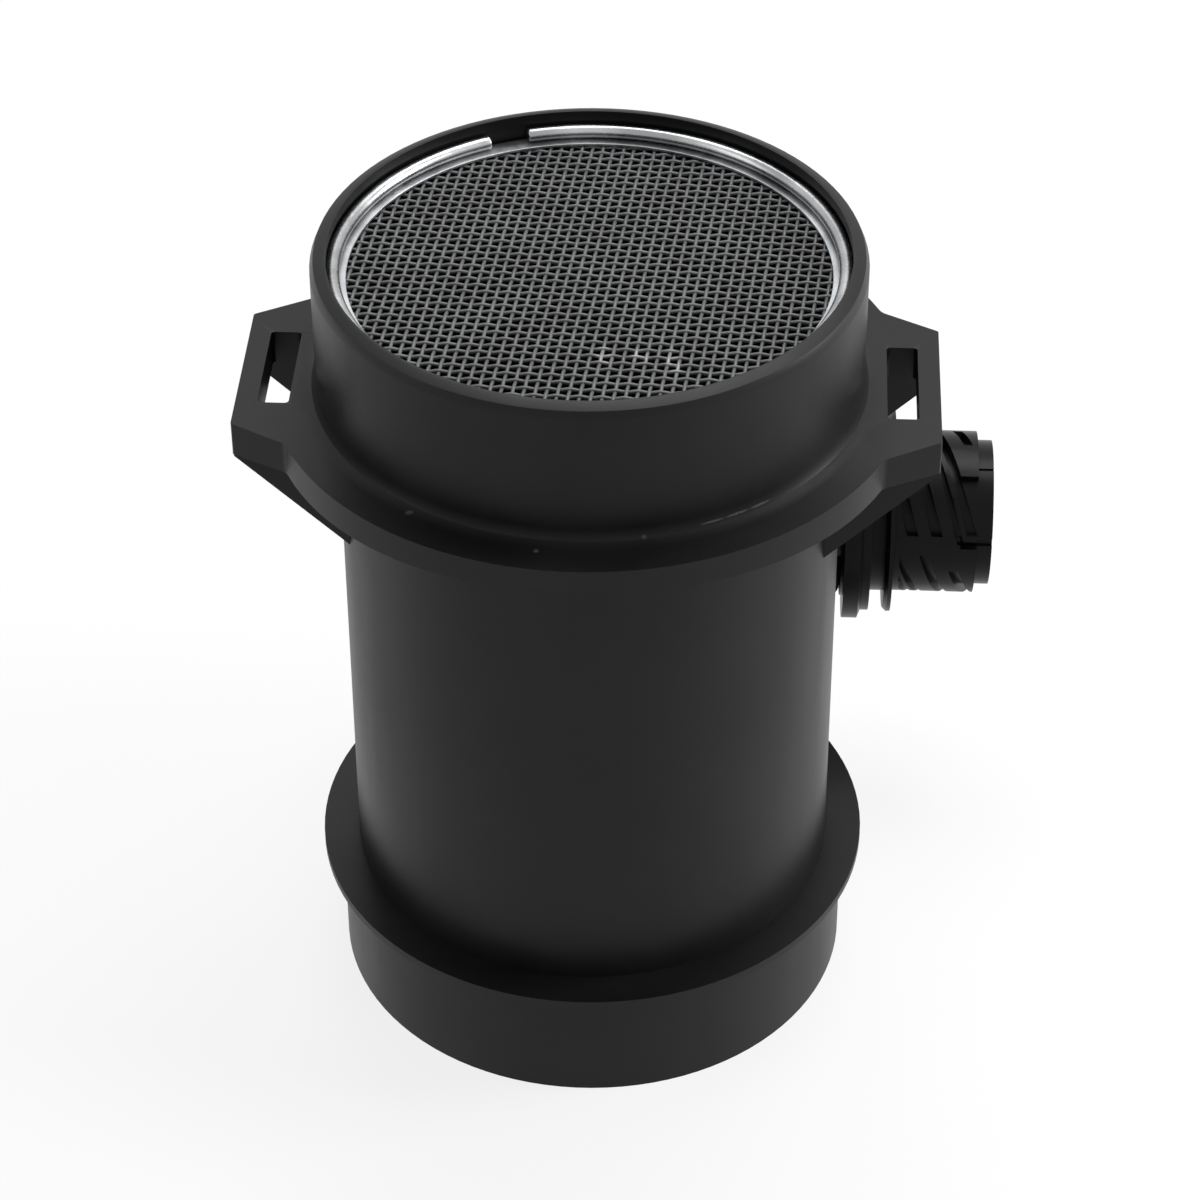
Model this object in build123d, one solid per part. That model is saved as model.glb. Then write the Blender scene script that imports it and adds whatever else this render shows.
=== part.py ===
from build123d import *
import math
import os

os.makedirs("parts", exist_ok=True)

# Frame
# Millimetres. The origin is the centre of the outlet end face. +Z runs up the
# tube to the inlet, +X points to the ear above the connector, and -Y is the
# front, away from the sensor module.

# Measuring tube
tube_radius = 41.5
tube_wall = 3.0
bore_radius = tube_radius - tube_wall
spigot_step = 3.0
spigot_radius = tube_radius + spigot_step
spigot_height = 22.4
spigot_wall = 3.2
bead_reach = 6.25
bead_radius = tube_radius + bead_reach
bead_height = 1.4
outlet_step_height = 20.0
collar_step = 3.1
collar_radius = tube_radius + collar_step
collar_edge_rounding = 2.0
collar_edge_facets = 2

# Clip flange with its two ears
flange_width = 7.4
flange_radius = collar_radius + flange_width
flange_top = 119.0
flange_thickness = 3.7
flange_root_rounding = 2.6
flange_root_facets = 2
underside_fall = 2.4
ear_length = 5.0
ear_reach = flange_radius + ear_length
ear_half_width = 15.7
ear_tip_rounding = 0.6
knee_run = 8.8
knee_x = ear_reach - knee_run
knee_half_width = 20.6
knee_rounding = 2.5
slot_rim = 3.55
slot_width_x = 5.1
slot_outer_x = ear_reach - slot_rim
slot_inner_x = slot_outer_x - slot_width_x
slot_half_width = 10.1
slot_middle_y = 0.5
slot_rounding = 0.7
gusset_outer_y = 14.4
gusset_thickness = 2.4
gusset_toe_drop = 7.4
gusset_toe_height = flange_top - gusset_toe_drop
gusset_slope = 0.966
gusset_root_depth = 3.0

# Screen, its hoop and the snap ring above them
seat_rise = 19.1
seat_height = flange_top + seat_rise
hoop_step = 0.4
hoop_inner_radius = bore_radius + hoop_step
hoop_thickness = 0.5
fit_gap = 0.1
ring_wire_radius = 1.17
screen_thickness = 0.9
groove_clearance = 0.36
groove_top = seat_height + screen_thickness + hoop_thickness + 2 * ring_wire_radius + groove_clearance
groove_step = 3.9
groove_radius = bore_radius + groove_step
lip_depth = 0.4
lip_radius = groove_radius - lip_depth
lip_height = 1.7
collar_top = groove_top + lip_height
ring_wire_facets = 6
ring_clearance = 0.23
ring_radius = groove_radius - ring_wire_radius - ring_clearance
ring_gap_start = 107.6
ring_gap_end = 116.9

# Woven screen: a thin disc with ridges and a square grid of gaps
screen_ridge_height = 0.3
screen_ridge_width = 0.8
screen_gap_pitch = 7.6
screen_gap_side = 5.8
screen_gap_margin = 0.5
screen_gap_reach = bore_radius - screen_gap_margin

# Sensor module on the back of the tube
pad_rise = 3.0
box_front = tube_radius + pad_rise
axis_setback = 7.5
axis_y = box_front + axis_setback
axis_z = 54.8
box_left = -30.0
box_right = 43.3
box_depth = 18.5
box_back = box_front + box_depth
box_half_height = 15.1
box_wall = 2.2
box_floor = 2.6
box_corner = 3.0
pad_half_width = 20.0
screw_distance = 4.1
screw_offset = box_half_height + screw_distance
pad_margin = 5.8
pad_half_height = screw_offset + pad_margin
lug_half_width = 5.5
lug_thickness = 4.0
screw_hole_radius = 1.9
screw_shank_radius = 1.75
screw_head_radius = 3.6
screw_head_height = 2.4
screw_recess_radius = 1.9
screw_recess_depth = 1.3
screw_length = 13.0
pilot_depth = 10.5
cover_thickness = 2.2
cover_inset = 0.3
cover_rib_height = 0.8
cover_field_inset = 5.0
cover_spigot_depth = 1.2

# Probe that reaches into the bore
window_half_width = 8.4
window_half_height = 13.4
neck_half_width = 7.6
neck_half_height = 12.6
finger_half_width = 6.5
finger_half_height = 12.0
finger_tip_y = -8.0
neck_depth = 7.5
finger_root_y = tube_radius - neck_depth
finger_rounding = 4.0
bypass_cover_thickness = 2.0
bypass_half_width = 4.0
bypass_back_x = -3.2
probe_plate_half_width = 17.0
probe_plate_half_height = box_half_height - box_wall - fit_gap
probe_plate_thickness = 2.4
seal_height = 2.0

# Sensing element and electronics
blade_thickness = 0.8
blade_half_height = 3.6
blade_tip_y = -2.6
film_side = 3.6
film_thickness = 0.4
row_inset = 3.8
board_row = probe_plate_half_height - row_inset
transistor_inset = 3.4
transistor_row = probe_plate_half_height - transistor_inset
base_plate_thickness = 1.6
board_thickness = 0.8
thermistor_y = 24.0
thermistor_radius = 1.3
thermistor_length = 3.0
thermistor_lead_radius = 0.3
thermistor_lead_length = 6.0
thermistor_lead_spacing = 1.4

# Round bayonet connector, its axis along +X. Angles on it are measured from the
# line of view, view_angle above the front, and grow upwards.
throat_radius = 16.0
base_start = 43.8
base_radius = 20.1
base_end = 46.6
shoulder_radius = 18.6
shoulder_start = 47.2
shoulder_end = 48.6
neck_radius = 14.9
disc_start = 51.2
disc_end = 52.6
disc_radius = 18.7
disc_bevel = 0.7
rib_radius = 14.8
rib_start = 53.8
rib_end = 67.6
rib_height = 1.6
core_radius = rib_radius - rib_height
channel_depth = 0.7
channel_radius = core_radius - channel_depth
mouth_end = 70.4
socket_radius = 11.4
socket_floor = 54.0
carrier_bore_radius = 9.4
upper_lead = 26.0
lower_lead = 27.0
view_angle = 36.9
slot_angle = -25.0
slot_start = 64.6
slot_width = 1.5
notch_angle = 35.0
notch_width = 0.5

# Contacts
carrier_gap = 0.1
carrier_inner_end = 41.0
carrier_head_end = 55.4
contact_circle = 4.6
contact_count = 5
contact_shank = 1.5
contact_pin_radius = 0.8
contact_pin_end = 65.0
contact_inner_end = 34.5
socket_seal_thickness = 1.2
socket_seal_width = 2.2
strip_start = 13.0
strip_width = 0.9
strip_thickness = 0.4

# Small or hidden round pieces are prisms with this many sides
inner_sides = 24
small_sides = 8


def cylinder_between(radius, low, high):
    """Upright cylinder between two heights."""
    solid = Cylinder(radius, high - low, align=(Align.CENTER, Align.CENTER, Align.MIN))
    return Pos(0, 0, low) * solid


def block(x_low, x_high, y_low, y_high, z_low, z_high):
    """Box between two corners."""
    size = (x_high - x_low, y_high - y_low, z_high - z_low)
    solid = Box(*size, align=(Align.MIN, Align.MIN, Align.MIN))
    return Pos(x_low, y_low, z_low) * solid


def turned(points, axis):
    """Solid of revolution of a closed outline in the XZ plane."""
    outline = make_face(Plane.XZ * Polyline(*points, close=True))
    return revolve(outline, axis)


def side_cylinder(radius, x_low, x_high, y=0.0, z=0.0):
    """Cylinder along X, placed from the connector's axis."""
    solid = Cylinder(radius, x_high - x_low, align=(Align.CENTER, Align.CENTER, Align.MIN))
    return Pos(x_low, axis_y + y, axis_z + z) * Rot(0, 90, 0) * solid


def side_prism(radius, sides, x_low, x_high, y=0.0, z=0.0):
    """Regular prism along X, placed from the connector's axis."""
    solid = extrude(RegularPolygon(radius, sides), x_high - x_low)
    return Pos(x_low, axis_y + y, axis_z + z) * Rot(0, 90, 0) * solid


def arc_points(centre_x, centre_z, radius, start, end, facets):
    """Points along an arc in the XZ plane, with both ends."""
    points = []
    for index in range(facets + 1):
        angle = math.radians(start + (end - start) * index / facets)
        points.append((centre_x + radius * math.cos(angle), centre_z + radius * math.sin(angle)))
    return points


def flange_blank(low, high):
    """Round plate with a slanted ear at each side."""
    outline = Circle(flange_radius)
    run = ear_reach - knee_x
    rise = knee_half_width - ear_half_width
    inner_x = ear_reach - 3 * run
    inner_y = ear_half_width + 3 * rise
    for side in (1, -1):
        corners = (
            (inner_x * side, inner_y),
            (ear_reach * side, ear_half_width),
            (ear_reach * side, -ear_half_width),
            (inner_x * side, -inner_y),
        )
        outline += make_face(Polyline(*corners, close=True))
    plate = Pos(0, 0, low) * extrude(outline, high - low)
    upright = plate.edges().filter_by(Axis.Z)
    tips = [e for e in upright if abs(e.center().X) > ear_reach - 0.1]
    plate = fillet(tips, ear_tip_rounding)
    upright = plate.edges().filter_by(Axis.Z)
    knees = [e for e in upright if knee_half_width - 1 < abs(e.center().Y) < knee_half_width + 2]
    return fillet(knees, knee_rounding)


def clip_flange():
    """Flange plate whose underside falls away towards both ears."""
    top = flange_top
    lowest = top - flange_thickness - underside_fall
    plate = flange_blank(lowest, top)
    below = top - flange_thickness
    reach = ear_reach + 3
    fall = underside_fall * reach / ear_reach
    corners = (
        (-reach, below - fall),
        (0, below),
        (reach, below - fall),
        (reach, below - fall - 8),
        (-reach, below - fall - 8),
    )
    wedge = make_face(Plane.XZ * Polyline(*corners, close=True))
    plate -= extrude(wedge, flange_radius + 5, both=True)
    slot = RectangleRounded(slot_outer_x - slot_inner_x, 2 * slot_half_width, slot_rounding)
    for side in (1, -1):
        centre = side * (slot_inner_x + slot_outer_x) / 2
        plate -= Pos(centre, slot_middle_y, lowest - 1) * extrude(slot, top - lowest + 2)
    return plate


def gussets():
    """Four sloping webs under the ears."""
    webs = []
    root_x = tube_radius - gusset_root_depth
    foot = gusset_toe_height - gusset_slope * (ear_reach - root_x)
    inside_plate = flange_top - flange_thickness + 0.5
    corners = (
        (root_x, foot),
        (ear_reach, gusset_toe_height),
        (ear_reach, inside_plate),
        (root_x, inside_plate),
    )
    web = make_face(Plane.XZ * Polyline(*corners, close=True))
    web = extrude(web, gusset_thickness / 2, both=True)
    middle = gusset_outer_y - gusset_thickness / 2
    for turn in (0, 180):
        for y in (middle, -middle):
            webs.append(Rot(0, 0, turn) * Pos(0, y, 0) * web)
    return webs


def tube_outside():
    """Turned outside of the tube: spigot, bead, tube, flange root and collar."""
    bead_top = spigot_height + bead_height
    root = flange_root_rounding
    edge = collar_edge_rounding
    hidden = flange_top - 1
    points = [
        (0, 0),
        (spigot_radius, 0),
        (spigot_radius, spigot_height),
        (bead_radius, spigot_height),
        (bead_radius, bead_top),
        (tube_radius, bead_top),
        (tube_radius, hidden),
        (collar_radius + root, hidden),
    ]
    points += arc_points(
        collar_radius + root, flange_top + root, root, -90, -180, flange_root_facets
    )
    points += arc_points(
        collar_radius - edge, collar_top - edge, edge, 0, 90, collar_edge_facets
    )
    points.append((0, collar_top))
    return turned(points, Axis.Z)


def tube_inside():
    """Turned bore: wide outlet, bore, screen seat with the ring's groove, and lip."""
    outlet_radius = spigot_radius - spigot_wall
    points = (
        (0, -1),
        (outlet_radius, -1),
        (outlet_radius, outlet_step_height),
        (bore_radius, outlet_step_height),
        (bore_radius, seat_height),
        (groove_radius, seat_height),
        (groove_radius, groove_top),
        (lip_radius, groove_top),
        (lip_radius, collar_top + 1),
        (0, collar_top + 1),
    )
    return turned(points, Axis.Z)


def mounting_pad():
    """Flat pad on the back of the tube that carries the sensor module."""
    low = axis_z - pad_half_height
    high = axis_z + pad_half_height
    return block(-pad_half_width, pad_half_width, bore_radius - 12, box_front, low, high)


def build_measuring_tube():
    solid = tube_outside() + clip_flange()
    solid += gussets()
    solid += mounting_pad()
    solid -= tube_inside()
    half_height = window_half_height
    solid -= block(
        -window_half_width, window_half_width, bore_radius - 10, box_front + 1,
        axis_z - half_height, axis_z + half_height,
    )
    for side in (1, -1):
        hole = Cylinder(screw_shank_radius, pilot_depth * 2)
        solid -= Pos(0, box_front, axis_z + side * screw_offset) * Rot(90, 0, 0) * hole
    return solid


def screen_top():
    return seat_height + screen_thickness


def hoop_top():
    return screen_top() + hoop_thickness


def build_snap_ring():
    """Round wire ring with a gap, its cut ends square to the wire."""
    height = hoop_top() + ring_wire_radius
    half_side = 180 / ring_wire_facets
    wire = RegularPolygon(
        ring_wire_radius, ring_wire_facets, major_radius=False, rotation=90 - half_side
    )
    section = Plane.XZ * Pos(ring_radius, height) * wire
    ring = revolve(section, Axis.Z, 360 - (ring_gap_end - ring_gap_start))
    return Rot(0, 0, ring_gap_end) * ring


def build_screen_hoop():
    """Flat metal hoop that holds the cloth's edge down."""
    outer = lip_radius - fit_gap
    points = (
        (hoop_inner_radius, screen_top()),
        (outer, screen_top()),
        (outer, hoop_top()),
        (hoop_inner_radius, hoop_top()),
    )
    return turned(points, Axis.Z)


def build_inlet_screen():
    """Wire cloth as one thin disc with a grid of gaps and raised ridges between them."""
    radius = lip_radius - fit_gap
    sheet_top = screen_top() - screen_ridge_height
    sheet = cylinder_between(radius, seat_height, sheet_top)
    count = int(screen_gap_reach / screen_gap_pitch) + 1
    side = screen_gap_side
    gaps = []
    for column in range(-count, count + 1):
        for row in range(-count, count + 1):
            x = column * screen_gap_pitch
            y = row * screen_gap_pitch
            if math.hypot(abs(x) + side / 2, abs(y) + side / 2) < screen_gap_reach:
                gaps.append(Pos(x, y, sheet_top) * Box(side, side, 4))
    sheet -= gaps
    half = screen_ridge_width / 2
    ridges = []
    for column in range(-count, count):
        x = (column + 0.5) * screen_gap_pitch
        if abs(x) + half < screen_gap_reach:
            reach = math.sqrt(radius ** 2 - (abs(x) + half) ** 2) - fit_gap
            ridges.append(block(x - half, x + half, -reach, reach, sheet_top - 0.1, screen_top()))
    return sheet + ridges


def build_module_housing():
    """Box open at the back, with the round connector shell on its right wall."""
    low = axis_z - box_half_height
    high = axis_z + box_half_height
    box = block(box_left, box_right, box_front, box_back, low, high)
    box = fillet(box.edges().filter_by(Axis.Y), box_corner)
    solid = box + connector_shell()
    solid -= box_cavity()
    for side in (1, -1):
        solid += screw_lug(side)
    solid -= block(
        -window_half_width, window_half_width, box_front - 1, box_front + box_floor + 1,
        axis_z - window_half_height, axis_z + window_half_height,
    )
    solid -= side_cylinder(carrier_bore_radius, box_right - box_wall - 1, socket_floor + 1)
    for side in (1, -1):
        hole = Cylinder(screw_hole_radius, 60)
        solid -= Pos(0, box_front, axis_z + side * screw_offset) * Rot(90, 0, 0) * hole
    return solid


def box_cavity():
    """Space for the electronics."""
    wall = box_wall
    cavity = block(
        box_left + wall, box_right - wall, box_front + box_floor, box_back + 1,
        axis_z - box_half_height + wall, axis_z + box_half_height - wall,
    )
    return fillet(cavity.edges().filter_by(Axis.Y), cavity_corner())


def cavity_corner():
    return box_corner - box_wall + 0.5


def screw_lug(side):
    """Rounded lug above or below the box for a fixing screw."""
    middle = axis_z + side * screw_offset
    inner = axis_z + side * (box_half_height - 0.5)
    low = min(inner, middle)
    high = max(inner, middle)
    back = box_front + lug_thickness
    lug = block(-lug_half_width, lug_half_width, box_front, back, low, high)
    tip = Cylinder(lug_half_width, lug_thickness)
    return lug + Pos(0, (box_front + back) / 2, middle) * Rot(90, 0, 0) * tip


def connector_profile():
    """Outside of the shell as radius and distance along the axis."""
    return (
        (0, box_right),
        (throat_radius, box_right),
        (throat_radius, base_start),
        (base_radius, base_start),
        (base_radius, base_end),
        (shoulder_radius, shoulder_start),
        (shoulder_radius, shoulder_end),
        (neck_radius, shoulder_end),
        (neck_radius, disc_start),
        (disc_radius - disc_bevel, disc_start),
        (disc_radius, disc_start + disc_bevel),
        (disc_radius, disc_end),
        (rib_radius, disc_end),
        (rib_radius, rib_start),
        (core_radius, rib_start),
        (core_radius, mouth_end),
        (0, mouth_end),
    )


def to_connector_axis(solid):
    """Turns a solid made along +Z at the origin onto the connector's axis."""
    return Pos(0, axis_y, axis_z) * Rot(0, 90, 0) * solid


def around(station, radius, angle):
    """Point at an angle above the line of view, on the upright working axis."""
    turn = math.radians(angle + view_angle)
    y = -radius * math.cos(turn)
    z = radius * math.sin(turn)
    return (-z, y, station)


def helical_groove(floor, lead, station, width, start, end):
    """Cutter that follows a helix between two angles, station being its middle at angle 0."""
    step = 18.0
    steps = max(2, round(abs(end - start) / step))
    top = rib_radius + 0.6
    sections = []
    for index in range(steps + 1):
        angle = start + (end - start) * index / steps
        middle = station - lead * angle / 360
        corners = [
            around(middle - width / 2, floor, angle),
            around(middle + width / 2, floor, angle),
            around(middle + width / 2, top, angle),
            around(middle - width / 2, top, angle),
        ]
        sections.append(make_face(Polyline(*corners, close=True)))
    return loft(sections, ruled=True)


def straight_slot(start, angle, width):
    """Cutter along the axis, from a station out through the mouth."""
    bottom = block(-width / 2, width / 2, channel_radius, rib_radius + 1, start, mouth_end + 1)
    return Rot(0, 0, slot_turn(angle)) * bottom


def slot_turn(angle):
    """Turn about the working axis that brings +Y to an angle above the line of view."""
    x, y, _ = around(0, 1, angle)
    return math.degrees(math.atan2(y, x)) - 90


def helical_ribs():
    """Ring of ribs left between the helical grooves, plain where the mould parts."""
    low = rib_start
    skin = core_radius - 0.6
    ribs = cylinder_between(rib_radius, low, rib_end) - cylinder_between(skin, low - 1, rib_end + 1)
    floor = core_radius - 0.3
    for station, width, start, end in upper_grooves():
        ribs -= helical_groove(floor, upper_lead, station, width, start, end)
    for station, width, start, end in lower_grooves():
        ribs -= helical_groove(floor, lower_lead, station, width, start, end)
    return ribs


def upper_grooves():
    """Station at angle 0, width, and the two end angles."""
    return (
        (54.6, 2.1, -19, 150),
        (59.0, 2.0, -19, 150),
        (62.9, 1.2, -25, 150),
        (67.0, 5.2, -18, 25),
        (69.7, 1.7, 54, 80),
    )


def lower_grooves():
    """The same for the grooves below the parting land."""
    return (
        (49.15, 1.4, -32, -195),
        (51.15, 1.3, -33, -195),
        (55.65, 1.7, -34, -195),
        (60.05, 1.8, -48, -195),
    )


def connector_shell():
    """Turned shell with a thin collar disc, helical ribs and the bayonet's entry slot."""
    shell = turned(connector_profile(), Axis.Z) + helical_ribs()
    shell -= helical_groove(channel_radius, upper_lead, 65.3, 1.8, -18, 70)
    shell -= straight_slot(slot_start, slot_angle, slot_width)
    shell -= straight_slot(rib_end, notch_angle, notch_width)
    shell -= cylinder_between(socket_radius, socket_floor, mouth_end + 1)
    return to_connector_axis(shell)


def floor_y():
    return box_front + box_floor


def plate_back_y():
    return floor_y() + probe_plate_thickness


def board_front_y():
    return plate_back_y() + base_plate_thickness


def board_back_y():
    return board_front_y() + board_thickness


def centred_block(half_x, y_low, y_high, half_z, x=0.0, z=0.0):
    """Box centred on the connector's height."""
    middle = axis_z + z
    return block(x - half_x, x + half_x, y_low, y_high, middle - half_z, middle + half_z)


def finger_blank(x_low, x_high):
    """Rounded finger that stands across the flow."""
    low = axis_z - finger_half_height
    high = axis_z + finger_half_height
    blank = block(x_low, x_high, finger_tip_y, finger_root_y, low, high)
    nose = [e for e in blank.edges().filter_by(Axis.X) if e.center().Y < 0]
    return fillet(nose, finger_rounding)


def build_probe_housing():
    """Finger with the bypass channel, its neck and the plate in the box."""
    cover_x = finger_half_width - bypass_cover_thickness
    solid = finger_blank(-finger_half_width, cover_x)
    solid += block(
        cover_x - 1, finger_half_width, finger_root_y - 3, finger_root_y,
        axis_z - finger_half_height, axis_z + finger_half_height,
    )
    solid += centred_block(neck_half_width, finger_root_y, floor_y(), neck_half_height)
    plate_half = probe_plate_half_height
    solid += centred_block(probe_plate_half_width, floor_y(), plate_back_y(), plate_half)
    solid -= block(
        bypass_back_x, cover_x + 1, -bypass_half_width, bypass_half_width,
        axis_z - finger_half_height - 1, axis_z + finger_half_height + 1,
    )
    slot = blade_thickness / 2 + fit_gap
    return solid - centred_block(slot, 0, plate_back_y() + 1, blade_half_height + fit_gap)


def build_bypass_cover():
    """Plate that closes the channel along the finger's side."""
    cover_x = finger_half_width - bypass_cover_thickness
    cover = finger_blank(cover_x, finger_half_width)
    keep = block(0, 20, -30, finger_root_y - 3 - fit_gap, 0, flange_top)
    return cover & keep


def build_probe_seal():
    """Square ring around the neck, between the pad and the box floor."""
    y_low = box_front - seal_height
    half_x = window_half_width
    half_z = window_half_height
    ring = centred_block(half_x, y_low, box_front, half_z)
    return ring - centred_block(neck_half_width, y_low - 1, box_front + 1, neck_half_height)


def build_sensor_blade():
    """Thin ceramic strip from the circuit board into the channel."""
    half = blade_thickness / 2
    return centred_block(half, blade_tip_y, board_front_y(), blade_half_height)


def build_film_chip():
    """Heated film element on the blade's tip."""
    low = blade_thickness / 2
    middle = blade_tip_y + 0.6 + film_side / 2
    half = film_side / 2
    return block(
        low, low + film_thickness, middle - half, middle + half, axis_z - half, axis_z + half
    )


def build_base_plate():
    """Metal plate under the circuit board, slotted for the blade."""
    half_z = probe_plate_half_height - 0.4
    plate = centred_block(probe_plate_half_width - 0.5, plate_back_y(), board_front_y(), half_z)
    slot = centred_block(
        blade_thickness / 2 + fit_gap, plate_back_y() - 1, board_front_y() + 1,
        blade_half_height + fit_gap,
    )
    return plate - slot


def build_circuit_board():
    half_z = probe_plate_half_height - 1.0
    return centred_block(probe_plate_half_width - 1, board_front_y(), board_back_y(), half_z)


def on_board(x, z, length, height, rise):
    """Flat block standing on the board."""
    y = board_back_y()
    return centred_block(length / 2, y, y + rise, height / 2, x, z)


def build_chip_resistors():
    """Six chip resistors in a row and three above them."""
    made = [on_board(-12.5 + 2.6 * index, -board_row, 1.6, 2.2, 0.6) for index in range(6)]
    made += [on_board(-12.5 + 2.6 * index, board_row, 1.6, 2.2, 0.6) for index in range(3)]
    return made


def build_chip_capacitors():
    """Four block capacitors."""
    made = [on_board(5.5, z, 3.2, 2.4, 1.7) for z in (-board_row, board_row)]
    made += [on_board(0.5, z, 3.2, 2.4, 1.7) for z in (board_row,)]
    made.append(on_board(-13.6, 4.2, 2.4, 3.2, 1.7))
    return made


def build_contact_carrier():
    """Insulating plug that holds the five contacts in the shell."""
    bore = carrier_bore_radius - carrier_gap
    head = socket_radius - carrier_gap
    solid = side_prism(bore, inner_sides, carrier_inner_end, socket_floor)
    solid += side_prism(head, inner_sides, socket_floor, carrier_head_end)
    for y, z in contact_places():
        half = contact_shank / 2
        solid -= block(
            carrier_inner_end - 1, carrier_head_end + 1,
            axis_y + y - half, axis_y + y + half, axis_z + z - half, axis_z + z + half,
        )
    return solid


def contact_places():
    """Offsets of the contacts from the connector's axis."""
    places = []
    for index in range(contact_count):
        angle = math.radians(360 * index / contact_count)
        places.append((contact_circle * math.cos(angle), contact_circle * math.sin(angle)))
    return places


def build_contact_pins():
    """Square shanks in the carrier with round pins in the socket."""
    pins = []
    half = contact_shank / 2
    for y, z in contact_places():
        pin = block(
            contact_inner_end, carrier_head_end,
            axis_y + y - half, axis_y + y + half, axis_z + z - half, axis_z + z + half,
        )
        pin += side_prism(
            contact_pin_radius, small_sides, carrier_head_end, contact_pin_end, y, z
        )
        pins.append(pin)
    return pins


def build_contact_strips():
    """Flat strips from the board to the inner ends of the contacts."""
    strips = []
    low = board_back_y()
    high = low + strip_thickness
    half = strip_width / 2
    end = contact_inner_end
    bend = end - strip_thickness
    for y, z in contact_places():
        strip = centred_block((end - strip_start) / 2, low, high, half, (end + strip_start) / 2, z)
        riser_low = min(low, axis_y + y - half)
        riser_high = max(high, axis_y + y + half)
        middle = axis_z + z
        riser = block(bend, end, riser_low, riser_high, middle - half, middle + half)
        strips.append(strip + riser)
    return strips


def build_socket_seal():
    """Flat face seal on the carrier's head."""
    outer = socket_radius - carrier_gap
    end = carrier_head_end + socket_seal_thickness
    ring = side_prism(outer, inner_sides, carrier_head_end, end)
    hole = side_prism(outer - socket_seal_width, inner_sides, carrier_head_end - 1, end + 1)
    return ring - hole


def build_thermistor():
    """Air temperature bead below the finger."""
    low = axis_z - finger_half_height - thermistor_lead_length - thermistor_length
    bead = extrude(RegularPolygon(thermistor_radius, small_sides), thermistor_length)
    return Pos(0, thermistor_y, low) * bead


def build_thermistor_leads():
    """Two stiff wires between the finger and the bead."""
    high = axis_z - finger_half_height
    wire = extrude(RegularPolygon(thermistor_lead_radius, small_sides), thermistor_lead_length)
    offset = thermistor_lead_spacing / 2
    low = high - thermistor_lead_length
    return [Pos(0, thermistor_y + side * offset, low) * wire for side in (1, -1)]


def build_module_cover():
    """Lid on the back of the box, with a low raised field."""
    low = axis_z - box_half_height
    high = axis_z + box_half_height
    right = box_right - cover_inset
    lid = block(box_left, right, box_back, box_back + cover_thickness, low, high)
    lid = fillet(lid.edges().filter_by(Axis.Y), box_corner)
    outside = box_back + cover_thickness
    edge = cover_field_inset
    field = block(
        box_left + edge, box_right - edge, outside, outside + cover_rib_height,
        low + edge, high - edge,
    )
    clear = box_wall + fit_gap
    spigot = block(
        box_left + clear, box_right - clear, box_back - cover_spigot_depth, box_back,
        low + clear, high - clear,
    )
    spigot = chamfer(spigot.edges().filter_by(Axis.Y), cavity_corner())
    return lid + field + spigot


def build_module_screws():
    """Two screws through the lugs into the pad, with plain heads."""
    seat = box_front + lug_thickness
    shank = extrude(RegularPolygon(screw_shank_radius, small_sides), screw_length)
    head = extrude(RegularPolygon(screw_head_radius, inner_sides), -screw_head_height)
    recess = extrude(RegularPolygon(screw_recess_radius, 6), screw_recess_depth)
    screw = shank + head - Pos(0, 0, -screw_head_height) * recess
    screws = []
    for side in (1, -1):
        screws.append(Pos(0, seat, axis_z + side * screw_offset) * Rot(90, 0, 0) * screw)
    return screws


def save(name, made):
    """Writes one named piece, or a group of separate pieces."""
    if isinstance(made, list):
        made = Compound(children=made)
    made.label = name
    export_step(made, "parts/" + name + ".step")


save("measuring_tube", build_measuring_tube())
save("inlet_screen", build_inlet_screen())
save("screen_hoop", build_screen_hoop())
save("snap_ring", build_snap_ring())
save("module_housing", build_module_housing())
save("module_cover", build_module_cover())
save("module_screws", build_module_screws())
save("probe_housing", build_probe_housing())
save("probe_seal", build_probe_seal())
save("bypass_cover", build_bypass_cover())
save("sensor_blade", build_sensor_blade())
save("film_chip", build_film_chip())
save("air_thermistor", build_thermistor())
save("thermistor_leads", build_thermistor_leads())
save("base_plate", build_base_plate())
save("circuit_board", build_circuit_board())
save("control_chip", on_board(-4.5, 0.0, 9.0, 9.0, 1.4))
save("amplifier_chip", on_board(5.0, -2.5, 5.0, 6.2, 1.5))
save("heater_transistor", on_board(11.6, transistor_row, 6.0, 2.6, 2.2))
save("chip_resistors", build_chip_resistors())
save("chip_capacitors", build_chip_capacitors())
save("contact_carrier", build_contact_carrier())
save("contact_pins", build_contact_pins())
save("contact_strips", build_contact_strips())
save("socket_seal", build_socket_seal())
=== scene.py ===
import math
import random

import bpy
from mathutils import Matrix, Vector


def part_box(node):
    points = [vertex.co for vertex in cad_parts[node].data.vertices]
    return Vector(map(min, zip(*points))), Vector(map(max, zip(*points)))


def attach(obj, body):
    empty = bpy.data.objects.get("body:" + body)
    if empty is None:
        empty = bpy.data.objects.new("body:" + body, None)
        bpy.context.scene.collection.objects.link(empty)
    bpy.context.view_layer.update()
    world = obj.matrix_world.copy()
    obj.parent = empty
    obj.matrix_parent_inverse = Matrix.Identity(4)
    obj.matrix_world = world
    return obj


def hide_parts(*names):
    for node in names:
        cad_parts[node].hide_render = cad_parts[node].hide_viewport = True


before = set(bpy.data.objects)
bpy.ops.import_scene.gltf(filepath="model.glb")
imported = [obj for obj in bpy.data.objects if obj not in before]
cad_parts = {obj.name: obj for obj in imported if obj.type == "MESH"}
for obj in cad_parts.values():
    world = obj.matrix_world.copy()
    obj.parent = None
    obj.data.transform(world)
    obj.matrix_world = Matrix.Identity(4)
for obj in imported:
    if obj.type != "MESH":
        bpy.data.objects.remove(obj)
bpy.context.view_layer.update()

MM = 0.001

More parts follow.
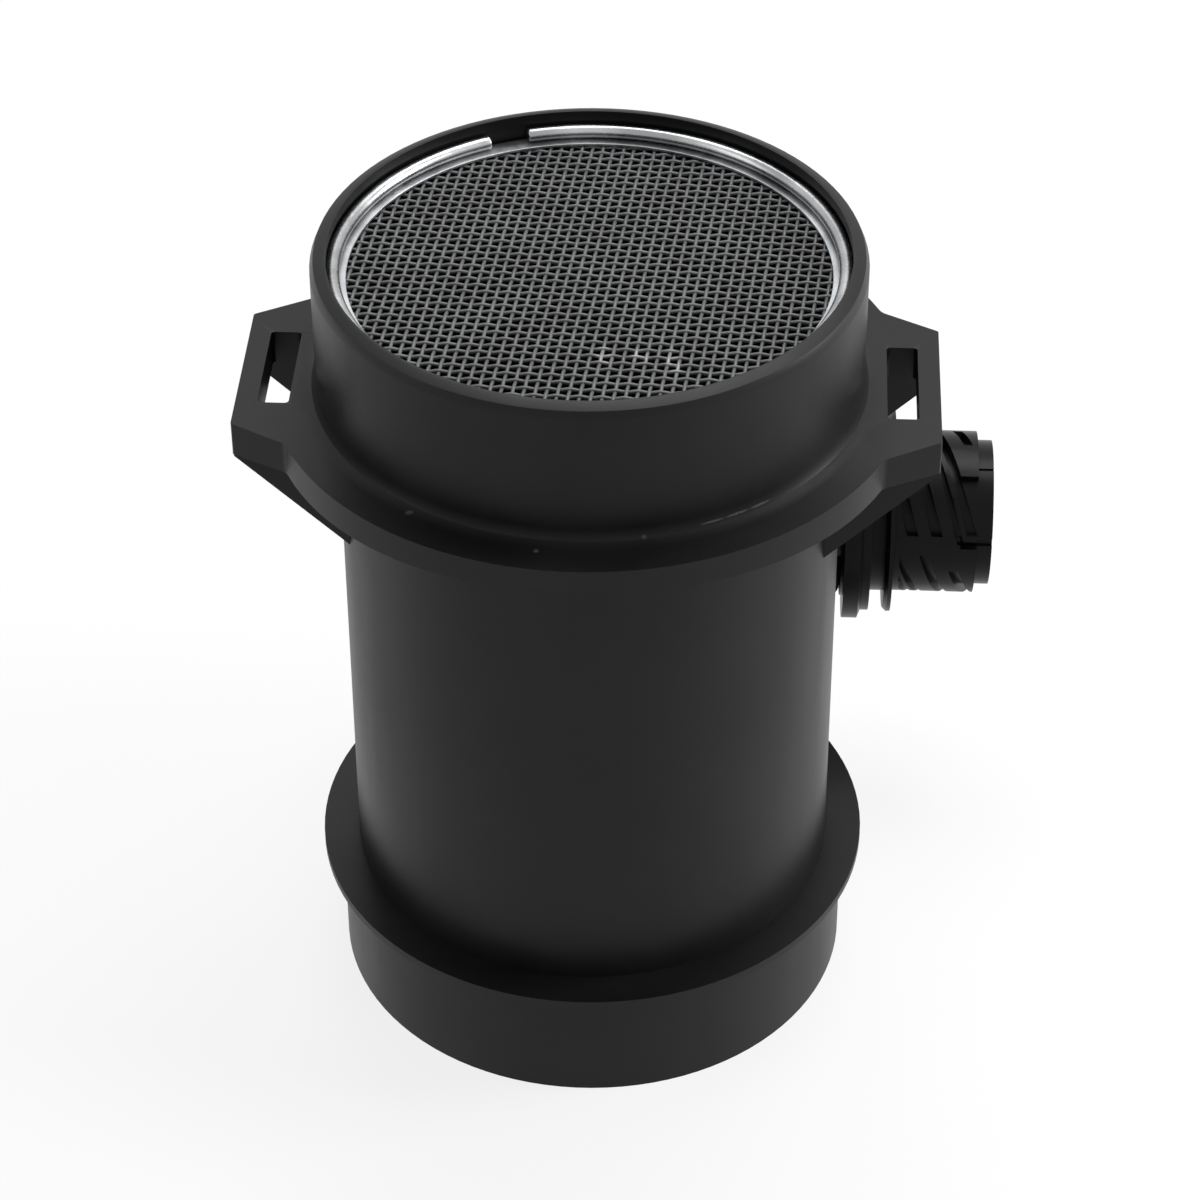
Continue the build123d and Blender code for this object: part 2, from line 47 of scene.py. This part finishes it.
# Camera fitted to the photograph, in millimetres and degrees
FOCAL_PX = 3773.47
IMAGE_PX = 1200
SENSOR_MM = 36.0
LOOK_HEIGHT = 70.0
DISTANCE = 645.607
ELEVATION = 38.444
ROLL = -0.297
LOOK_X_PX = 591.319
LOOK_Y_PX = 612.036
OBJECT_TURN = 3.111
CLIP_NEAR = 0.01
CLIP_FAR = 20


def rotated(vector, axis, angle):
    return Matrix.Rotation(angle, 3, axis) @ vector


def make_camera():
    """Camera at the photograph's angle, with no shift."""
    tilt = math.radians(ELEVATION)
    forward = Vector((0, math.cos(tilt), -math.sin(tilt)))
    right = Vector((1, 0, 0))
    up = right.cross(forward)
    roll = math.radians(ROLL)
    right, up = (
        math.cos(roll) * right + math.sin(roll) * up,
        math.cos(roll) * up - math.sin(roll) * right,
    )
    eye = Vector((0, 0, LOOK_HEIGHT)) - forward * DISTANCE
    middle = IMAGE_PX / 2
    pan = math.atan((LOOK_X_PX - middle) / FOCAL_PX)
    nod = math.atan((LOOK_Y_PX - middle) / FOCAL_PX * math.cos(pan))
    ahead = forward * math.cos(pan) - right * math.sin(pan)
    right = right * math.cos(pan) + forward * math.sin(pan)
    ahead, up = (
        ahead * math.cos(nod) + up * math.sin(nod),
        up * math.cos(nod) - ahead * math.sin(nod),
    )
    turn = math.radians(OBJECT_TURN)
    eye, right, up, ahead = [rotated(v, "Z", turn) for v in (eye, right, up, ahead)]
    data = bpy.data.cameras.new("camera")
    data.sensor_width = SENSOR_MM
    data.lens = FOCAL_PX * SENSOR_MM / IMAGE_PX
    data.clip_start = CLIP_NEAR
    data.clip_end = CLIP_FAR
    camera = bpy.data.objects.new("camera", data)
    bpy.context.collection.objects.link(camera)
    matrix = Matrix((right, up, -ahead)).transposed().to_4x4()
    matrix.translation = eye * MM
    camera.matrix_world = matrix
    bpy.context.scene.camera = camera


# Material helpers

# Share of a noise's range between its dark and its light end
NOISE_LOW = 0.35
NOISE_HIGH = 0.65
TONE_HIGH = 0.7
MARK_CORE = 0.5
GRAIN_FADE = 0.12
COLOUR_INPUTS = (6, 7)
COLOUR_OUTPUT = 2


class Nodes:
    """Short way to build one node tree."""

    def __init__(self, name):
        self.material = bpy.data.materials.new(name)
        self.material.use_nodes = True
        self.tree = self.material.node_tree
        self.shader = self.tree.nodes["Principled BSDF"]
        self.place = self.add("ShaderNodeTexCoord").outputs["Object"]

    def add(self, kind, **values):
        node = self.tree.nodes.new(kind)
        for key, value in values.items():
            setattr(node, key, value)
        return node

    def link(self, source, target):
        self.tree.links.new(source, target)

    def noise(self, scale, detail=2.0, roughness=0.5, place=None):
        node = self.add("ShaderNodeTexNoise")
        node.inputs["Scale"].default_value = scale
        node.inputs["Detail"].default_value = detail
        node.inputs["Roughness"].default_value = roughness
        self.link(place or self.place, node.inputs["Vector"])
        return node.outputs["Fac"]

    def ramp(self, source, low, high, start, end):
        """Maps source between start and end to low and high."""
        node = self.add("ShaderNodeMapRange")
        node.inputs["From Min"].default_value = start
        node.inputs["From Max"].default_value = end
        node.inputs["To Min"].default_value = low
        node.inputs["To Max"].default_value = high
        self.link(source, node.inputs["Value"])
        return node.outputs["Result"]

    def mix(self, factor, first, second):
        """Colour between first and second by factor."""
        node = self.add("ShaderNodeMix", data_type="RGBA")
        self.link(factor, node.inputs["Factor"])
        for index, value in zip(COLOUR_INPUTS, (first, second)):
            if isinstance(value, (tuple, list)):
                node.inputs[index].default_value = (*value, 1)
            else:
                self.link(value, node.inputs[index])
        return node.outputs[COLOUR_OUTPUT]

    def math(self, operation, first, second):
        node = self.add("ShaderNodeMath", operation=operation)
        for index, value in enumerate((first, second)):
            if isinstance(value, (int, float)):
                node.inputs[index].default_value = value
            else:
                self.link(value, node.inputs[index])
        return node.outputs[0]

    def average(self, first, second, share):
        """Share of the first value and the rest of the second."""
        return self.math(
            "ADD", self.math("MULTIPLY", first, share), self.math("MULTIPLY", second, 1 - share)
        )

    def bump(self, height, strength, distance, normal=None):
        node = self.add("ShaderNodeBump")
        node.inputs["Strength"].default_value = strength
        node.inputs["Distance"].default_value = distance
        self.link(height, node.inputs["Height"])
        if normal is not None:
            self.link(normal, node.inputs["Normal"])
        return node.outputs["Normal"]

    def stretched(self, scale):
        """Object coordinates with their own scale along each axis."""
        node = self.add("ShaderNodeMapping")
        node.inputs["Scale"].default_value = scale
        self.link(self.place, node.inputs["Vector"])
        return node.outputs["Vector"]

    def marked(self, marks, speckle, share):
        """Soft mask around marked places, each a centre, a half length, a half width and a turn."""
        total = None
        for centre, length, width, turn in marks:
            node = self.add("ShaderNodeMapping", vector_type="TEXTURE")
            node.inputs["Location"].default_value = [value * MM for value in centre]
            node.inputs["Rotation"].default_value = (0, 0, math.radians(turn))
            node.inputs["Scale"].default_value = (length * MM, width * MM, width * MM)
            self.link(self.place, node.inputs["Vector"])
            reach = self.add("ShaderNodeVectorMath", operation="LENGTH")
            self.link(node.outputs["Vector"], reach.inputs[0])
            mask = self.ramp(reach.outputs["Value"], 1, 0, MARK_CORE, 1.0)
            total = mask if total is None else self.math("MAXIMUM", total, mask)
        grain = self.ramp(self.noise(speckle), 0, 1, share, share + GRAIN_FADE)
        return self.math("MULTIPLY", total, grain)

    def finish(self, colour, roughness, normal):
        self.link(colour, self.shader.inputs["Base Color"])
        self.link(roughness, self.shader.inputs["Roughness"])
        self.link(normal, self.shader.inputs["Normal"])
        return self.material


# Small marks seen in the photo, as centre, half length, half width and turn, in millimetres
SCUFF_TONE = (0.07, 0.07, 0.07)
SCUFF_SPECKLE = 2200
FLANGE_MARKS = (
    ((-26.2, -38.5, 119.3), 0.9, 0.5, 0),
    ((-5.9, -47.0, 119.0), 0.5, 0.5, 0),
    ((10.5, -43.7, 119.9), 0.6, 0.6, 0),
    ((21.0, -39.9, 120.3), 2.4, 0.22, 28),
    ((24.7, -37.7, 120.3), 2.4, 0.26, 33),
    ((28.2, -35.2, 120.3), 2.4, 0.22, 39),
)
# Lighter hazy spots painted on the cloth's wires where CLOTH_MARKS sits, with a speckled edge
CLOTH_SPOT_TONE = (0.24, 0.24, 0.245)
CLOTH_SPOT_SPECKLE = 1500
CLOTH_MARKS = (
    ((3.4, -22.6, 138.9), 1.6, 3.0, 10),
    ((9.0, -22.6, 138.9), 1.8, 2.4, 10),
    ((14.2, -24.0, 138.9), 1.4, 4.6, 10),
)
MARK_SHARE = 0.3

# Noise scales are per metre, bump depths in metres
PLASTIC_GRAIN_SCALE = 2600
PLASTIC_GRAIN_DEPTH = 0.00004
PLASTIC_BROAD_SCALE = 38
PLASTIC_FLOW_SCALE = 90
PLASTIC_FLOW_STRETCH = (1.0, 1.0, 0.22)
PLASTIC_FLOW_SHARE = 0.6
PLASTIC_FLOW_BUMP = 0.12
PLASTIC_FLOW_DEPTH = 0.0004
FLECK_SCALE = 5200
FLECK_STRENGTH = 0.35
FLECK_START = 0.68
FLECK_END = 0.8
FLECK_GAIN = 3.0


def moulded_plastic(name, dark, light, rough, specular=0.2, grain=0.35, marks=()):
    """Glass-filled moulding: fine grain, slow gloss changes, faint flow marks and scuffs."""
    n = Nodes(name)
    fine = n.noise(PLASTIC_GRAIN_SCALE, 3, 0.6)
    broad = n.noise(PLASTIC_BROAD_SCALE, 3, 0.55)
    flow = n.noise(PLASTIC_FLOW_SCALE, place=n.stretched(PLASTIC_FLOW_STRETCH))
    tone = n.mix(n.ramp(broad, 0, 1, NOISE_LOW, TONE_HIGH), dark, light)
    fleck = n.ramp(n.noise(FLECK_SCALE, 1), 0, FLECK_STRENGTH, FLECK_START, FLECK_END)
    tone = n.mix(fleck, tone, tuple(min(1, c * FLECK_GAIN) for c in light))
    gloss = n.ramp(n.average(flow, broad, PLASTIC_FLOW_SHARE), *rough, NOISE_LOW, NOISE_HIGH)
    if marks:
        tone = n.mix(n.marked(marks, SCUFF_SPECKLE, MARK_SHARE), tone, SCUFF_TONE)
    normal = n.bump(fine, grain, PLASTIC_GRAIN_DEPTH)
    normal = n.bump(flow, PLASTIC_FLOW_BUMP, PLASTIC_FLOW_DEPTH, normal)
    n.shader.inputs["Specular IOR Level"].default_value = specular
    return n.finish(tone, gloss, normal)


METAL_STREAK_SCALE = 900
METAL_STREAK_BUMP = 0.4
METAL_STREAK_DEPTH = 0.00002
METAL_PATCH_SCALE = 120


def metal(name, dark, light, rough, streak=(1, 1, 1), metallic=1.0, marks=()):
    """Drawn or rolled metal with fine streaks and dull patches, and lighter spots where marked."""
    n = Nodes(name)
    lines = n.noise(METAL_STREAK_SCALE, 3, 0.6, n.stretched(streak))
    patches = n.noise(METAL_PATCH_SCALE)
    tone = n.mix(n.ramp(patches, 0, 1, NOISE_LOW, TONE_HIGH), dark, light)
    gloss = n.ramp(n.average(lines, patches, 0.5), *rough, NOISE_LOW, NOISE_HIGH)
    if marks:
        tone = n.mix(n.marked(marks, CLOTH_SPOT_SPECKLE, MARK_SHARE), tone, CLOTH_SPOT_TONE)
    n.shader.inputs["Metallic"].default_value = metallic
    return n.finish(tone, gloss, n.bump(lines, METAL_STREAK_BUMP, METAL_STREAK_DEPTH))


RUBBER_MOTTLE_SCALE = 700
RUBBER_GLOSS_SCALE = 180
RUBBER_ROUGH = (0.62, 0.8)
RUBBER_SPECULAR = 0.3
RUBBER_BUMP = 0.3
RUBBER_DEPTH = 0.00005


def soft_rubber(name, dark, light):
    """Dull elastomer with a fine talc-like mottle."""
    n = Nodes(name)
    mottle = n.noise(RUBBER_MOTTLE_SCALE, 4, 0.6)
    tone = n.mix(n.ramp(mottle, 0, 1, 0.3, 0.7), dark, light)
    gloss = n.ramp(n.noise(RUBBER_GLOSS_SCALE), *RUBBER_ROUGH, NOISE_LOW, NOISE_HIGH)
    n.shader.inputs["Specular IOR Level"].default_value = RUBBER_SPECULAR
    return n.finish(tone, gloss, n.bump(mottle, RUBBER_BUMP, RUBBER_DEPTH))


CERAMIC_PIT_SCALE = 3000
CERAMIC_MOTTLE_SCALE = 260
CERAMIC_ROUGH = (0.45, 0.6)
CERAMIC_BUMP = 0.3
CERAMIC_DEPTH = 0.00003


def fired_ceramic(name, dark, light):
    """Fired body with pits and a slight mottle."""
    n = Nodes(name)
    pits = n.noise(CERAMIC_PIT_SCALE, 2, 0.6)
    mottle = n.noise(CERAMIC_MOTTLE_SCALE, 3)
    tone = n.mix(n.ramp(mottle, 0, 1, NOISE_LOW, TONE_HIGH), dark, light)
    gloss = n.ramp(pits, *CERAMIC_ROUGH, NOISE_LOW, NOISE_HIGH)
    return n.finish(tone, gloss, n.bump(pits, CERAMIC_BUMP, CERAMIC_DEPTH))


# Materials of the solids: dark tone, light tone, range of roughness, then what differs
PLASTICS = {
    "tube_plastic": ((0.0045, 0.0045, 0.0048), (0.0080, 0.0080, 0.0083), (0.37, 0.45), 0.19),
    "module_plastic": ((0.0022, 0.0022, 0.0024), (0.0042, 0.0042, 0.0045), (0.30, 0.40), 0.12),
    "probe_plastic": ((0.018, 0.018, 0.019), (0.03, 0.03, 0.031), (0.5, 0.6)),
    "carrier_plastic": ((0.02, 0.02, 0.022), (0.035, 0.035, 0.037), (0.45, 0.55)),
    "chip_epoxy": ((0.012, 0.012, 0.012), (0.02, 0.02, 0.02), (0.5, 0.65)),
    "bead_epoxy": ((0.01, 0.012, 0.02), (0.02, 0.024, 0.035), (0.2, 0.3), 0.5, 0.1),
    "film_glass": ((0.02, 0.025, 0.04), (0.04, 0.045, 0.07), (0.1, 0.2), 0.5, 0.05),
}
METALS = {
    "hoop_steel": ((0.30, 0.31, 0.32), (0.46, 0.47, 0.48), (0.32, 0.48)),
    "screw_steel": ((0.42, 0.43, 0.44), (0.58, 0.58, 0.60), (0.28, 0.42)),
    "plate_aluminium": ((0.60, 0.61, 0.63), (0.72, 0.73, 0.75), (0.3, 0.42)),
    "transistor_metal": ((0.45, 0.45, 0.46), (0.6, 0.6, 0.62), (0.3, 0.45)),
    "contact_tin": ((0.70, 0.52, 0.24), (0.82, 0.64, 0.34), (0.2, 0.32)),
    "strip_copper": ((0.60, 0.34, 0.22), (0.72, 0.44, 0.30), (0.28, 0.4)),
    "lead_wire": ((0.55, 0.55, 0.56), (0.7, 0.7, 0.71), (0.2, 0.32)),
}
CERAMICS = {
    "resistor_body": ((0.02, 0.02, 0.022), (0.035, 0.035, 0.038)),
    "capacitor_body": ((0.25, 0.17, 0.09), (0.36, 0.25, 0.14)),
    "board_ceramic": ((0.62, 0.61, 0.56), (0.74, 0.73, 0.68)),
    "blade_ceramic": ((0.70, 0.69, 0.65), (0.80, 0.79, 0.75)),
}
RUBBERS = {
    "seal_rubber": ((0.012, 0.012, 0.012), (0.025, 0.025, 0.025)),
    "seal_silicone": ((0.42, 0.11, 0.04), (0.56, 0.17, 0.07)),
}
MARKED_PLASTICS = {"tube_plastic": FLANGE_MARKS}
NODE_MATERIALS = {
    "measuring_tube": "tube_plastic",
    "module_housing": "module_plastic",
    "module_cover": "module_plastic",
    "probe_housing": "probe_plastic",
    "bypass_cover": "probe_plastic",
    "contact_carrier": "carrier_plastic",
    "control_chip": "chip_epoxy",
    "amplifier_chip": "chip_epoxy",
    "air_thermistor": "bead_epoxy",
    "film_chip": "film_glass",
    "chip_resistors": "resistor_body",
    "chip_capacitors": "capacitor_body",
    "circuit_board": "board_ceramic",
    "sensor_blade": "blade_ceramic",
    "screen_hoop": "hoop_steel",
    "module_screws": "screw_steel",
    "base_plate": "plate_aluminium",
    "heater_transistor": "transistor_metal",
    "contact_pins": "contact_tin",
    "contact_strips": "strip_copper",
    "thermistor_leads": "lead_wire",
    "probe_seal": "seal_rubber",
    "socket_seal": "seal_silicone",
}


def dress_nodes():
    """Gives each solid that shows in the scene its material."""
    made = {}
    for name, values in PLASTICS.items():
        made[name] = moulded_plastic(name, *values, marks=MARKED_PLASTICS.get(name, ()))
    for build, table in ((metal, METALS), (fired_ceramic, CERAMICS), (soft_rubber, RUBBERS)):
        for name, values in table.items():
            made[name] = build(name, *values)
    for name, material in NODE_MATERIALS.items():
        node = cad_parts[name]
        node.data.materials.clear()
        node.data.materials.append(made[material])


# Rounded edges of the moulded and pressed pieces: width in millimetres for each node
EDGE_ROUNDING = {
    "measuring_tube": 0.5,
    "module_housing": 0.25,
    "module_cover": 0.4,
    "module_screws": 0.2,
    "screen_hoop": 0.08,
    "contact_pins": 0.12,
    "contact_carrier": 0.2,
    "probe_housing": 0.3,
    "bypass_cover": 0.2,
    "base_plate": 0.15,
}
SHARP_ANGLE = 28.0
WELD_DISTANCE = 1e-6
BEVEL_SEGMENTS = 2
NORMAL_WEIGHT = 80


def round_edges():
    """Small rounding on every sharp edge, as a mould or a press leaves it."""
    for name, width in EDGE_ROUNDING.items():
        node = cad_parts[name]
        weld = node.modifiers.new("weld", "WELD")
        weld.merge_threshold = WELD_DISTANCE
        bevel = node.modifiers.new("edges", "BEVEL")
        bevel.width = width * MM
        bevel.segments = BEVEL_SEGMENTS
        bevel.limit_method = "ANGLE"
        bevel.angle_limit = math.radians(SHARP_ANGLE)
        bevel.use_clamp_overlap = True
        even = node.modifiers.new("shading", "WEIGHTED_NORMAL")
        even.mode = "FACE_AREA_WITH_ANGLE"
        even.weight = NORMAL_WEIGHT


# Meshes built here


def new_object(name, verts, faces):
    mesh = bpy.data.meshes.new(name)
    mesh.from_pydata(verts, [], faces)
    made = bpy.data.objects.new(name, mesh)
    bpy.context.collection.objects.link(made)
    return made


def smooth_object(name, verts, faces):
    made = new_object(name, verts, faces)
    made.data.polygons.foreach_set("use_smooth", [True] * len(made.data.polygons))
    return made


def section(middle, side, upward, radius, sides):
    """Corners of a round section in metres, counted from side towards upward."""
    corners = []
    for corner in range(sides):
        turn = 2 * math.pi * corner / sides
        reach = side * math.cos(turn) * radius + upward * math.sin(turn) * radius
        corners.append((middle + reach) * MM)
    return corners


def tube_faces(first, steps, sides):
    """Faces of a closed tube along equal sections, whose corners start at first."""
    faces = []
    for index in range(steps):
        for corner in range(sides):
            a = first + index * sides + corner
            b = first + index * sides + (corner + 1) % sides
            faces.append((a, b, b + sides, a + sides))
    last = first + steps * sides
    faces.append(tuple(first + k for k in reversed(range(sides))))
    faces.append(tuple(last + k for k in range(sides)))
    return faces


# Woven wire cloth, in millimetres and degrees

PITCH_ACROSS = 1.74
ACROSS_ANGLE = -0.8
PITCH_ALONG = 1.87
ALONG_ANGLE = 84.4
WIRE_RADIUS = 0.31
CRIMP = 0.13
CLOTH_RADIUS = 41.4
CLOTH_MARGIN = 0.6
POINTS_PER_CROSSING = 4
FEWEST_STEPS = 4
WIRE_SIDES = 7
WIRE_DRIFT = 0.05
DRIFT_RATE = 0.23
PHASE_RANGE = 6.28
WEFT_SEED = 11
WARP_SEED = 12


def middle_height(name):
    """Height of a solid's middle, in millimetres."""
    low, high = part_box(name)
    return (low[2] + high[2]) / 2 / MM


def lattice():
    """Steps from one crossing to the next, across and along the cloth."""
    across = math.radians(ACROSS_ANGLE)
    along = math.radians(ALONG_ANGLE)
    first = Vector((math.cos(across), math.sin(across), 0)) * PITCH_ACROSS
    second = Vector((math.cos(along), math.sin(along), 0)) * PITCH_ALONG
    return first, second


def wire_family(name, step, offset, over, seed):
    """Parallel wires that rise and dip over the other family's wires."""
    draw = random.Random(seed)
    height = middle_height("inlet_screen")
    verts, faces = [], []
    direction = step.normalized()
    side = Vector((-direction.y, direction.x, 0))
    count = int(CLOTH_RADIUS / abs(offset.dot(side)))
    for row in range(-count, count + 1):
        drift = draw.uniform(-WIRE_DRIFT, WIRE_DRIFT)
        phase = draw.uniform(0, PHASE_RANGE)
        base = offset * row
        across = base.dot(side)
        if abs(across) > CLOTH_RADIUS - CLOTH_MARGIN:
            continue
        half = math.sqrt(CLOTH_RADIUS ** 2 - across ** 2)
        centre = base.dot(direction)
        low = (-half - centre) / step.length
        high = (half - centre) / step.length
        steps = max(FEWEST_STEPS, int((high - low) * POINTS_PER_CROSSING))
        first = len(verts)
        for index in range(steps + 1):
            at = low + (high - low) * index / steps
            wave = math.pi * (at + row)
            slope = -CRIMP * over * math.pi / step.length * math.sin(wave)
            sway = drift * math.sin(at * DRIFT_RATE + phase)
            middle = base + step * at + side * sway
            middle.z = height + CRIMP * over * math.cos(wave)
            upward = Vector((-direction.x * slope, -direction.y * slope, 1)).normalized()
            verts += section(middle, side, upward, WIRE_RADIUS, WIRE_SIDES)
        faces += tube_faces(first, steps, WIRE_SIDES)
    return smooth_object(name, verts, faces)


CLOTH_DARK = (0.088, 0.089, 0.091)
CLOTH_LIGHT = (0.116, 0.118, 0.12)
CLOTH_ROUGH = (0.42, 0.54)
CLOTH_METALLIC = 0.4


def make_cloth():
    material = metal(
        "cloth_steel", CLOTH_DARK, CLOTH_LIGHT, CLOTH_ROUGH,
        metallic=CLOTH_METALLIC, marks=CLOTH_MARKS,
    )
    across, along = lattice()
    for name, step, offset, over, seed in (
        ("cloth_weft", across, along, 1, WEFT_SEED),
        ("cloth_warp", along, across, -1, WARP_SEED),
    ):
        piece = wire_family(name, step, offset, over, seed)
        piece.data.materials.append(material)
        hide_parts("inlet_screen")
        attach(piece, "root")


# Snap ring: round wire with slightly rounded ends, in millimetres and degrees

RING_RADIUS = 41.0
RING_WIRE_RADIUS = 1.17
RING_START = 116.9
RING_SWEEP = 350.7
RING_STEPS = 240
RING_SIDES = 20
RING_END_STEPS = 4
RING_END_LENGTH = 0.35
RING_END_SHARE = 0.72
RING_DARK = (0.30, 0.305, 0.31)
RING_LIGHT = (0.46, 0.465, 0.47)
RING_ROUGH = (0.2, 0.34)
RING_STREAK = (1, 1, 6)


def ring_stations():
    """Angle along the ring and share of the wire's radius, with rounded ends."""
    end = math.degrees(RING_END_LENGTH / RING_RADIUS)
    rows = []
    for index in range(RING_END_STEPS):
        turn = math.pi / 2 * index / RING_END_STEPS
        share = RING_END_SHARE + (1 - RING_END_SHARE) * math.sin(turn)
        rows.append((end * (1 - math.cos(turn)), share))
    middle = [
        (end + (RING_SWEEP - 2 * end) * index / RING_STEPS, 1.0) for index in range(RING_STEPS + 1)
    ]
    return rows + middle + [(RING_SWEEP - angle, share) for angle, share in reversed(rows)]


def make_ring():
    height = middle_height("snap_ring")
    upward = Vector((0, 0, 1))
    verts = []
    stations = ring_stations()
    for angle, share in stations:
        turn = math.radians(RING_START + angle)
        outward = Vector((math.cos(turn), math.sin(turn), 0))
        middle = outward * RING_RADIUS + upward * height
        verts += section(middle, -outward, upward, RING_WIRE_RADIUS * share, RING_SIDES)
    faces = tube_faces(0, len(stations) - 1, RING_SIDES)
    piece = smooth_object("snap_ring_wire", verts, faces)
    piece.data.materials.append(metal("ring_steel", RING_DARK, RING_LIGHT, RING_ROUGH, RING_STREAK))
    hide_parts("snap_ring")
    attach(piece, "root")


# Surroundings

FLOOR_HALF_SIZE = 4.0
FLOOR_DARK = (0.86, 0.86, 0.86)
FLOOR_LIGHT = (0.88, 0.88, 0.88)
FLOOR_NOISE_SCALE = 40
FLOOR_ROUGH = 0.9
FLOOR_SPECULAR = 0.1
FLOOR_WHITE_SHARE = 0.82
WORLD_LIGHT = 0.3
WHITE = (1, 1, 1, 1)

# Lamps: place, the point each is aimed at, width and height in metres, and power in watts
LAMP_TARGET = (0, 0, 0.08)
TOP_TARGET = (0, 0, 0.1)
LAMPS = (
    ("left_box", (-0.9, -0.3, 0.5), LAMP_TARGET, 0.4, 0.9, 1.5),
    ("right_box", (0.9, 0.1, 0.4), LAMP_TARGET, 0.4, 0.9, 10),
    ("top_box", (0.1, 0.45, 1.1), TOP_TARGET, 0.8, 0.6, 9),
)


def seen_directly(tree):
    """One for camera, glossy and transmission rays."""
    path = tree.nodes.new("ShaderNodeLightPath")
    seen = path.outputs["Is Camera Ray"]
    for kind in ("Is Glossy Ray", "Is Transmission Ray"):
        most = tree.nodes.new("ShaderNodeMath")
        most.operation = "MAXIMUM"
        tree.links.new(seen, most.inputs[0])
        tree.links.new(path.outputs[kind], most.inputs[1])
        seen = most.outputs[0]
    return seen


def make_floor():
    """Pale floor that shows white and keeps the object's soft shadow."""
    size = FLOOR_HALF_SIZE
    corners = [(-size, -size, 0), (size, -size, 0), (size, size, 0), (-size, size, 0)]
    floor = new_object("floor", corners, [(0, 1, 2, 3)])
    n = Nodes("floor_paper")
    tone = n.mix(n.noise(FLOOR_NOISE_SCALE), FLOOR_DARK, FLOOR_LIGHT)
    n.link(tone, n.shader.inputs["Base Color"])
    n.shader.inputs["Roughness"].default_value = FLOOR_ROUGH
    n.shader.inputs["Specular IOR Level"].default_value = FLOOR_SPECULAR
    share = n.math("MULTIPLY", seen_directly(n.tree), FLOOR_WHITE_SHARE)
    glow = n.add("ShaderNodeEmission")
    glow.inputs["Color"].default_value = WHITE
    glow.inputs["Strength"].default_value = 1.0
    blend = n.add("ShaderNodeMixShader")
    n.link(share, blend.inputs[0])
    n.link(n.shader.outputs[0], blend.inputs[1])
    n.link(glow.outputs[0], blend.inputs[2])
    n.link(blend.outputs[0], n.tree.nodes["Material Output"].inputs["Surface"])
    floor.data.materials.append(n.material)


def make_world():
    """White where seen or mirrored, and soft light for the rest."""
    world = bpy.data.worlds.new("studio")
    bpy.context.scene.world = world
    world.use_nodes = True
    tree = world.node_tree
    back = tree.nodes["Background"]
    back.inputs["Color"].default_value = WHITE
    strength = tree.nodes.new("ShaderNodeMapRange")
    strength.inputs["To Min"].default_value = WORLD_LIGHT
    strength.inputs["To Max"].default_value = 1.0
    tree.links.new(seen_directly(tree), strength.inputs["Value"])
    tree.links.new(strength.outputs["Result"], back.inputs["Strength"])


def make_lights():
    """Large soft boxes."""
    for name, place, target, width, height, power in LAMPS:
        data = bpy.data.lights.new(name, "AREA")
        data.shape = "RECTANGLE"
        data.size = width
        data.size_y = height
        data.energy = power
        lamp = bpy.data.objects.new(name, data)
        bpy.context.collection.objects.link(lamp)
        lamp.location = place
        aim = Vector(target) - Vector(place)
        lamp.rotation_euler = aim.to_track_quat("-Z", "Y").to_euler()


make_camera()
dress_nodes()
round_edges()
make_cloth()
make_ring()
make_floor()
make_world()
make_lights()

scene = bpy.context.scene
scene.view_settings.view_transform = "Standard"
